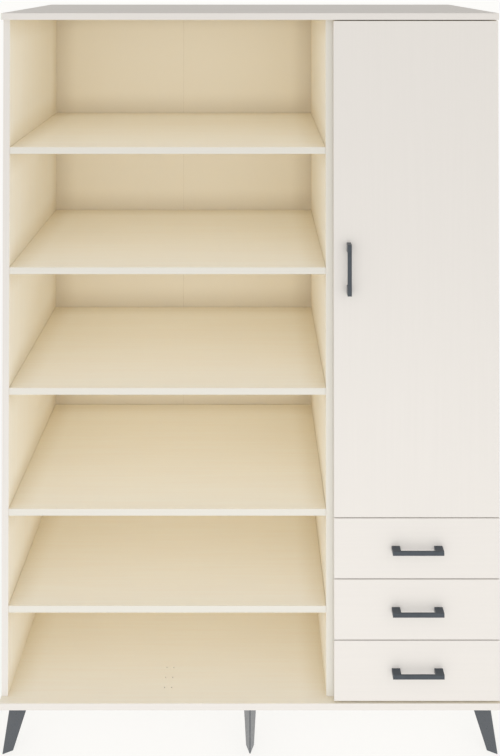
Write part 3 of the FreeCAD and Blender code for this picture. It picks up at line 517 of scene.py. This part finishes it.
def new_piece(name, mesh, body):
    """Object for a finished mesh that rides on a body."""
    piece = bpy.data.objects.new(name, mesh)
    bpy.context.scene.collection.objects.link(piece)
    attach(piece, body)
    return piece


def new_tree(name, inputs):
    """Geometry Nodes tree that takes a mesh and the named inputs, and gives one mesh."""
    tree = bpy.data.node_groups.new(name, "GeometryNodeTree")
    tree.interface.new_socket("Places", in_out="INPUT", socket_type="NodeSocketGeometry")
    for label, kind in inputs.items():
        tree.interface.new_socket(label, in_out="INPUT", socket_type=kind)
    tree.interface.new_socket("Result", in_out="OUTPUT", socket_type="NodeSocketGeometry")
    return tree, add(tree, "NodeGroupInput").outputs


def end_tree(tree, instances, material):
    """Close a tree: its instances become one mesh of one material."""
    whole = add(tree, "GeometryNodeRealizeInstances", {"Geometry": instances}).outputs["Geometry"]
    coated = add(tree, "GeometryNodeSetMaterial", {"Geometry": whole, "Material": material})
    add(tree, "NodeGroupOutput", {"Result": coated.outputs["Geometry"]})


def grown(name, mesh, tree, values, body):
    """Piece made by a tree from a mesh of places, with the tree's named inputs set to values."""
    seed = bpy.data.objects.new(name + "_places", mesh)
    bpy.context.scene.collection.objects.link(seed)
    modifier = seed.modifiers.new(tree.name, "NODES")
    modifier.node_group = tree
    for item in tree.interface.items_tree:
        if item.name in values:
            modifier[item.identifier] = values[item.name]
    evaluated = seed.evaluated_get(bpy.context.evaluated_depsgraph_get())
    result = bpy.data.meshes.new_from_object(evaluated)
    bpy.data.objects.remove(seed)
    return new_piece(name, result, body)


# Screw heads: the sides of the cross are shares of the head's width, and its depth a share of the rise
SPIN_SEED = 7
HEAD_SEGMENTS, HEAD_RINGS = 20, 16
SLOT_LENGTH, SLOT_WIDTH, SLOT_DEPTH = 0.62, 0.13, 0.75


def cross_head_tree():
    """Domed screw heads with a cross recess, one at each place, turned to face along "facing"."""
    tree, given = new_tree(
        "cross_head_screws",
        {"Diameter": "NodeSocketFloat", "Rise": "NodeSocketFloat", "Material": "NodeSocketMaterial"},
    )
    half, length, width = [
        add(tree, "ShaderNodeMath", {0: given["Diameter"], 1: share}, operation="MULTIPLY").outputs[0]
        for share in (0.5, SLOT_LENGTH, SLOT_WIDTH)
    ]
    round_size = add(tree, "ShaderNodeCombineXYZ", {0: half, 1: half, 2: given["Rise"]}).outputs[0]
    whole_ball = {"Segments": HEAD_SEGMENTS, "Rings": HEAD_RINGS, "Radius": 1}
    ball = add(tree, "GeometryNodeMeshUVSphere", whole_ball).outputs["Mesh"]
    dome = add(tree, "GeometryNodeTransform", {"Geometry": ball, "Scale": round_size})
    twice_depth = {0: given["Rise"], 1: 2 * SLOT_DEPTH}
    depth = add(tree, "ShaderNodeMath", twice_depth, operation="MULTIPLY").outputs[0]
    lift = add(tree, "ShaderNodeCombineXYZ", {2: given["Rise"]}).outputs[0]
    slots = []
    for across, along in ((length, width), (width, length)):
        size = add(tree, "ShaderNodeCombineXYZ", {0: across, 1: along, 2: depth}).outputs[0]
        bar = add(tree, "GeometryNodeMeshCube", {"Size": size}).outputs["Mesh"]
        raised = add(tree, "GeometryNodeTransform", {"Geometry": bar, "Translation": lift})
        slots.append(raised.outputs["Geometry"])
    cut = {"Mesh 1": dome.outputs["Geometry"], "Mesh 2": slots}
    head = add(tree, "GeometryNodeMeshBoolean", cut, operation="DIFFERENCE", solver="EXACT")
    way = add(tree, "GeometryNodeInputNamedAttribute", {"Name": "facing"}, data_type="FLOAT_VECTOR")
    aligned = add(
        tree, "FunctionNodeAlignRotationToVector", {"Vector": way.outputs["Attribute"]}, axis="Z"
    ).outputs["Rotation"]
    quarter = {RANDOM_MAX: math.pi / 2, "Seed": SPIN_SEED}
    angle = add(tree, "FunctionNodeRandomValue", quarter, data_type="FLOAT").outputs[RANDOM_NUMBER]
    spin = add(tree, "FunctionNodeAxisAngleToRotation", {"Axis": UP, "Angle": angle})
    turn = {"Rotation": aligned, "Rotate By": spin.outputs["Rotation"]}
    turned = add(tree, "FunctionNodeRotateRotation", turn, rotation_space="LOCAL").outputs["Rotation"]
    heads = add(
        tree,
        "GeometryNodeInstanceOnPoints",
        {"Points": given["Places"], "Instance": head.outputs["Mesh"], "Rotation": turned},
    )
    end_tree(tree, heads.outputs["Instances"], given["Material"])
    return tree


CROSS_HEADS = cross_head_tree()


def cross_heads(name, places, diameter, rise, body):
    """Screw heads of one size on one body; each place is a point and the way the head faces."""
    mesh = bpy.data.meshes.new(name)
    mesh.from_pydata([point for point, way in places], [], [])
    ways = mesh.attributes.new("facing", "FLOAT_VECTOR", "POINT")
    for item, (point, way) in zip(ways.data, places):
        item.vector = way
    values = {"Diameter": diameter, "Rise": rise * diameter, "Material": ZINC_PLATE}
    return grown(name, mesh, CROSS_HEADS, values, body)


PIN_SIDES = 12
PIN_CROWN = 0.8


def panel_pin_tree():
    """Flat pin heads along every line, at an even spacing, sunk to their rims."""
    tree, given = new_tree(
        "panel_pins",
        {
            "Spacing": "NodeSocketFloat",
            "Head": "NodeSocketFloat",
            "Rise": "NodeSocketFloat",
            "Material": "NodeSocketMaterial",
        },
    )
    line = add(tree, "GeometryNodeMeshToCurve", {"Mesh": given["Places"]}).outputs["Curve"]
    steps = {"Curve": line, "Length": given["Spacing"]}
    spaced = add(tree, "GeometryNodeResampleCurve", steps, mode="LENGTH").outputs["Curve"]
    rim, crown = [
        add(tree, "ShaderNodeMath", {0: given["Head"], 1: share / 2}, operation="MULTIPLY").outputs[0]
        for share in (1, PIN_CROWN)
    ]
    height, drop = [
        add(tree, "ShaderNodeMath", {0: given["Rise"], 1: times}, operation="MULTIPLY").outputs[0]
        for times in (2, -1)
    ]
    head = add(
        tree,
        "GeometryNodeMeshCone",
        {"Vertices": PIN_SIDES, "Radius Top": crown, "Radius Bottom": rim, "Depth": height},
    ).outputs["Mesh"]
    sunk = add(tree, "ShaderNodeCombineXYZ", {1: drop}).outputs[0]
    placed = add(
        tree,
        "GeometryNodeTransform",
        {"Geometry": head, "Translation": sunk, "Rotation": (-math.pi / 2, 0, 0)},
    ).outputs["Geometry"]
    heads = add(tree, "GeometryNodeInstanceOnPoints", {"Points": spaced, "Instance": placed})
    end_tree(tree, heads.outputs["Instances"], given["Material"])
    return tree


def solids(node):
    """Boxes of the separate solids of a node, each its low and high corner, from the lowest up."""
    mesh = bmesh.new()
    mesh.from_mesh(frame["nodes"][node].data)
    bmesh.ops.remove_doubles(mesh, verts=mesh.verts, dist=MERGE)
    waiting = set(mesh.verts)
    boxes = []
    while waiting:
        front = [waiting.pop()]
        places = []
        while front:
            vert = front.pop()
            places.append(vert.co.copy())
            linked = {edge.other_vert(vert) for edge in vert.link_edges} & waiting
            waiting -= linked
            front.extend(linked)
        low, high = [Vector([pick(p[i] for p in places) for i in range(3)]) for pick in (min, max)]
        boxes.append((low, high))
    mesh.free()
    return sorted(boxes, key=lambda box: tuple(round(c, SORT_DIGITS) for c in box[0].zxy))


def carcass_screws():
    """Heads of the screws under the legs, between the modules, on the rail sockets and the hinges."""
    wood, hinge, socket = [], [], []
    for low, high in solids("leg_screws"):
        middle = (low + high) / 2
        wood.append((Vector((middle.x, middle.y, low.z)), DOWN))
    for low, high in solids("module_screws"):
        middle = (low + high) / 2
        wood.append((Vector((high.x, middle.y, middle.z)), RIGHT))
    for low, high in solids("hinge_plates"):
        for height in (low.z + PLATE_SCREW_INSET, high.z - PLATE_SCREW_INSET):
            hinge.append((Vector((high.x - PLATE_WING, low.y + PLATE_WING_WIDTH / 2, height)), LEFT))
    for low, high in solids("hinge_arms"):
        for inset in ARM_SCREW_INSETS:
            hinge.append((Vector((low.x, high.y - inset, (low.z + high.z) / 2)), LEFT))
    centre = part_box("clothes_rail")[0].lerp(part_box("clothes_rail")[1], 0.5)
    for low, high in solids("rail_sockets"):
        on_left = low.x < centre.x
        face = low.x + SOCKET_FLANGE if on_left else high.x - SOCKET_FLANGE
        for height in (low.z + SOCKET_SCREW_INSET, high.z - SOCKET_SCREW_INSET):
            socket.append((Vector((face, centre.y, height)), RIGHT if on_left else LEFT))
    cross_heads("wood_screw_heads", wood, WOOD_SCREW_HEAD, SCREW_RISE, "carcass")
    cross_heads("hinge_screws", hinge, HINGE_SCREW_HEAD, SCREW_RISE, "carcass")
    cross_heads("rail_socket_screws", socket, SOCKET_SCREW_HEAD, SCREW_RISE, "carcass")


def door_screws():
    """Heads on the back of the door: two to a hinge cup, two for the handle."""
    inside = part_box("door")[1].y
    cups, handle = [], []
    for low, high in solids("hinge_cups"):
        for height in (low.z + CUP_SCREW_INSET, high.z - CUP_SCREW_INSET):
            cups.append((Vector(((low.x + high.x) / 2, high.y, height)), BACKWARD))
    low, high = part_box("door_handle")
    for side in (-1, 1):
        height = (low.z + high.z + side * HANDLE_SPACING) / 2
        handle.append((Vector(((low.x + high.x) / 2, inside, height)), BACKWARD))
    cross_heads("hinge_cup_screws", cups, HINGE_SCREW_HEAD, SCREW_RISE, "door")
    cross_heads("door_handle_screws", handle, WOOD_SCREW_HEAD, SCREW_RISE, "door")


def drawer_fittings(number):
    """Handle screws inside a drawer front, and the cams that draw the drawer sides up to it."""
    drawer = f"drawer_{number}"
    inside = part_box(f"{drawer}_front")[1].y
    low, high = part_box(f"{drawer}_handle")
    screws = []
    for side in (-1, 1):
        across = (low.x + high.x + side * HANDLE_SPACING) / 2
        screws.append((Vector((across, inside, (low.z + high.z) / 2)), BACKWARD))
    cams = []
    for side, way in (("left", RIGHT), ("right", LEFT)):
        low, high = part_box(f"{drawer}_{side}_side")
        face = high.x if side == "left" else low.x
        for height in (low.z + CAM_INSET, high.z - CAM_INSET):
            cams.append((Vector((face, low.y + CAM_SETBACK, height)), way))
    cross_heads(f"{drawer}_handle_screws", screws, WOOD_SCREW_HEAD, SCREW_RISE, drawer)
    cross_heads(f"{drawer}_cams", cams, CAM_DIAMETER, CAM_RISE, drawer)


def panel_pins():
    """Pins that hold the back sheets, along the edges that lie on a board; the corners get one each."""
    lines = []
    left, middle, right = [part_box(f"back_sheet_{name}") for name in ("left", "middle", "right")]
    rear = left[1].y
    bottom, top = left[0].z + PIN_INSET, left[1].z - PIN_INSET
    ends = bottom + PIN_SPACING, top - PIN_SPACING
    for first, last in ((left, middle), (right, right)):
        for across in (first[0].x + PIN_INSET, last[1].x - PIN_INSET):
            lines.append([(across, rear, height) for height in ends])
    for low, high in (left, middle, right):
        for height in (bottom, top):
            lines.append([(low.x + PIN_INSET, rear, height), (high.x - PIN_INSET, rear, height)])
    mesh = bpy.data.meshes.new("pin_lines")
    corners = [corner for line in lines for corner in line]
    mesh.from_pydata(corners, [(2 * i, 2 * i + 1) for i in range(len(lines))], [])
    values = {"Spacing": PIN_SPACING, "Head": PIN_HEAD, "Rise": PIN_RISE, "Material": ZINC_PLATE}
    grown("back_panel_pins", mesh, panel_pin_tree(), values, "carcass")


def seam_tape():
    """Paper tape that closes the seam of the bookcase back from behind."""
    left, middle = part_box("back_sheet_left"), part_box("back_sheet_middle")
    seam = (left[1].x + middle[0].x) / 2
    mesh = bmesh.new()
    sides = [(x, left[1].y) for x in (seam - TAPE_WIDTH / 2, seam + TAPE_WIDTH / 2)]
    foot = [mesh.verts.new((x, y, left[0].z)) for x, y in sides]
    foot += [mesh.verts.new((x, y + TAPE_THICKNESS, left[0].z)) for x, y in reversed(sides)]
    base = mesh.faces.new(foot)
    raised = bmesh.ops.extrude_face_region(mesh, geom=[base])["geom"]
    upper = [item for item in raised if isinstance(item, bmesh.types.BMVert)]
    bmesh.ops.translate(mesh, verts=upper, vec=(left[1].z - left[0].z) * UP)
    bmesh.ops.recalc_face_normals(mesh, faces=mesh.faces)
    data = bpy.data.meshes.new("back_seam_tape")
    mesh.to_mesh(data)
    mesh.free()
    data.materials.append(kraft_tape())
    new_piece("back_seam_tape", data, "carcass")


# Studio: a white floor lit from below, a pale surround that dims overhead and behind, and a low wide
# softbox in front. Towards the zenith and towards the front the surround changes between two cosines.
FLOOR_SIZE = 400
FLOOR_GREY = "#7b7b79"
FLOOR_LIGHT = "#fffefc"
FLOOR_GLOW = 0.8
FLOOR_ROUGHNESS = 0.9
HORIZON = "#fbfaf7"
ZENITH = "#a6a3a0"
ZENITH_LEAN = 30
ZENITH_FROM, ZENITH_TO = 0.4, 0.95
FRONT_LIGHT = 1.12
FRONT_FROM, FRONT_TO = -0.4, -0.9
SOFTBOX_PLACE = Vector((0, -1.6, 0.1))
SOFTBOX_AIM = Vector((0, 0, 0.25))
SOFTBOX_SIZE = (2.6, 0.3)
SOFTBOX_POWER = 6.5

# Light that passes on between pale boards needs many bounces before it dies away
LIGHT_BOUNCES = 24
DIFFUSE_BOUNCES = 20


def white_floor():
    half = FLOOR_SIZE / 2
    mesh = bpy.data.meshes.new("floor")
    corners = [(-half, -half, 0), (half, -half, 0), (half, half, 0), (-half, half, 0)]
    mesh.from_pydata(corners, [], [(0, 1, 2, 3)])
    material, tree = new_material("white_floor")
    end_material(
        tree,
        {
            "Base Color": linear(FLOOR_GREY),
            "Roughness": FLOOR_ROUGHNESS,
            "Emission Color": linear(FLOOR_LIGHT),
            "Emission Strength": FLOOR_GLOW,
        },
    )
    mesh.materials.append(material)
    floor = bpy.data.objects.new("floor", mesh)
    bpy.context.scene.collection.objects.link(floor)
    return floor


def surround():
    world = bpy.data.worlds.new("surround")
    world.use_nodes = True
    tree = world.node_tree
    tree.nodes.clear()
    direction = add(tree, "ShaderNodeTexCoord").outputs["Generated"]
    lean = math.radians(ZENITH_LEAN)
    pole = Vector((0, math.sin(lean), math.cos(lean)))
    height = add(tree, "ShaderNodeVectorMath", {0: direction, 1: pole}, operation="DOT_PRODUCT")
    climb = add(
        tree,
        "ShaderNodeMapRange",
        {"Value": height.outputs["Value"], "From Min": ZENITH_FROM, "From Max": ZENITH_TO},
    )
    skies = {"Factor": climb.outputs["Result"], MIX_A: linear(HORIZON), MIX_B: linear(ZENITH)}
    sky = add(tree, "ShaderNodeMix", skies, data_type="RGBA").outputs[MIXED]
    ahead = add(
        tree,
        "ShaderNodeMapRange",
        {
            "Value": add(tree, "ShaderNodeSeparateXYZ", {0: direction}).outputs["Y"],
            "From Min": FRONT_FROM,
            "From Max": FRONT_TO,
            "To Min": 1,
            "To Max": FRONT_LIGHT,
        },
    )
    glow = add(tree, "ShaderNodeBackground", {"Color": sky, "Strength": ahead.outputs["Result"]})
    add(tree, "ShaderNodeOutputWorld", {"Surface": glow.outputs["Background"]})
    bpy.context.scene.world = world


def spared(name, objects):
    """Collection of objects that a light leaves out."""
    collection = bpy.data.collections.new(name)
    for item in objects:
        collection.objects.link(item)
    for member in collection.collection_objects:
        member.light_linking.link_state = "EXCLUDE"
    return collection


def softbox(floor):
    """Low light that doesn't brighten the floor and throws no shadows of the handles upwards."""
    light = bpy.data.lights.new("softbox", "AREA")
    light.shape = "RECTANGLE"
    light.size, light.size_y = SOFTBOX_SIZE
    light.energy = SOFTBOX_POWER
    lamp = bpy.data.objects.new("softbox", light)
    lamp.location = SOFTBOX_PLACE
    lamp.rotation_euler = (SOFTBOX_AIM - SOFTBOX_PLACE).to_track_quat("-Z", "Y").to_euler()
    lamp.visible_camera = False
    bpy.context.scene.collection.objects.link(lamp)
    handles = [frame["nodes"][node] for node in HANDLE_NODES]
    lamp.light_linking.receiver_collection = spared("unlit_by_softbox", [floor])
    lamp.light_linking.blocker_collection = spared("unshadowed_by_softbox", handles)


def photo_camera():
    lens = bpy.data.cameras.new("camera")
    lens.sensor_width = SENSOR
    lens.lens = FOCAL_PIXELS * SENSOR / PHOTO_HEIGHT
    lens.shift_y = CAMERA_SHIFT
    camera = bpy.data.objects.new("camera", lens)
    camera.location = CAMERA_PLACE
    camera.rotation_euler = (math.radians(90 + CAMERA_PITCH), 0, 0)
    bpy.context.scene.collection.objects.link(camera)
    bpy.context.scene.camera = camera


dress_solids()
carcass_screws()
door_screws()
for number in DRAWERS:
    drawer_fittings(number)
panel_pins()
seam_tape()
surround()
softbox(white_floor())
photo_camera()
bpy.context.scene.view_settings.view_transform = "Standard"
bpy.context.scene.cycles.max_bounces = LIGHT_BOUNCES
bpy.context.scene.cycles.diffuse_bounces = DIFFUSE_BOUNCES
